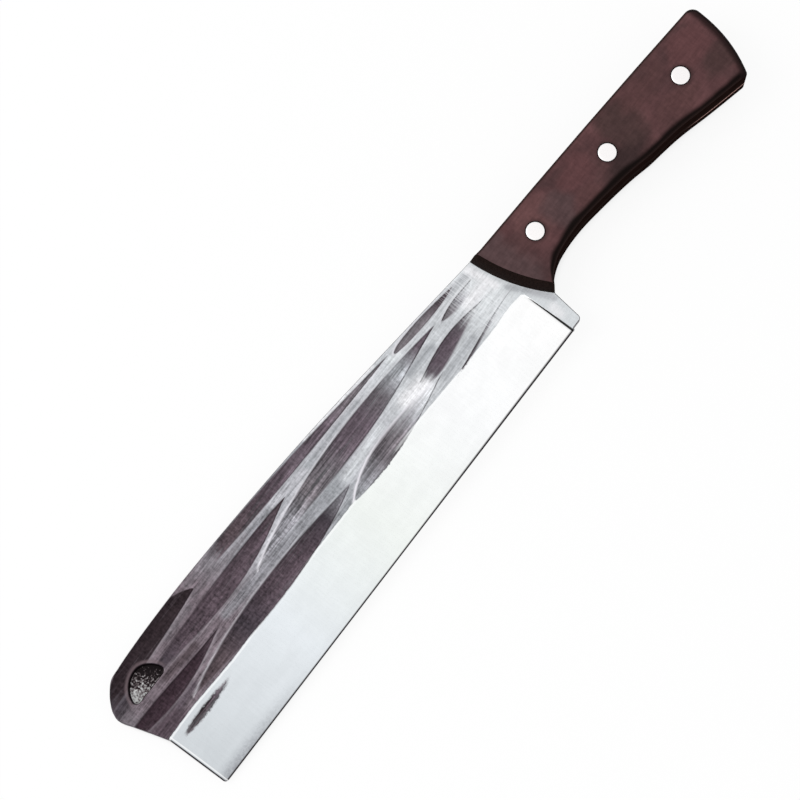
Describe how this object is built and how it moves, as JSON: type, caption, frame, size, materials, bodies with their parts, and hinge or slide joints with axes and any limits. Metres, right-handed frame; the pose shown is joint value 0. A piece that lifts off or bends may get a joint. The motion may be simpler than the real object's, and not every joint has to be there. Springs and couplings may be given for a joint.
{
  "type": "bone cleaver",
  "caption": "Heavy kitchen cleaver: forged full-tang blade with a ground edge, leaf-shaped forging hollows and a D-shaped hanging hole, riveted between two shaped wooden scales.",
  "frame": {"origin": "under the middle of the knife's length and height, level with the right face of the handle that it lies on", "axes": "+X along the knife to the butt of the handle, +Y from the cutting edge to the spine, +Z out of the left face"},
  "size_m": [0.3364, 0.0574, 0.018],
  "materials": {
    "blade_steel": "forged face with leaf-shaped hollows, dark towards the tip, over a bright ground edge",
    "handle_wood": "satin, dark red-brown, fine lengthwise grain",
    "rivet_metal": "ground flush, bright"
  },
  "bodies": {
    "root": {"blade_with_tang": "blade_steel", "handle_scale_left": "handle_wood", "handle_scale_right": "handle_wood", "rivet_sleeve_front": "rivet_metal", "rivet_sleeve_middle": "rivet_metal", "rivet_sleeve_rear": "rivet_metal", "rivet_post_front": "rivet_metal", "rivet_post_middle": "rivet_metal", "rivet_post_rear": "rivet_metal"}
  },
  "joints": []
}
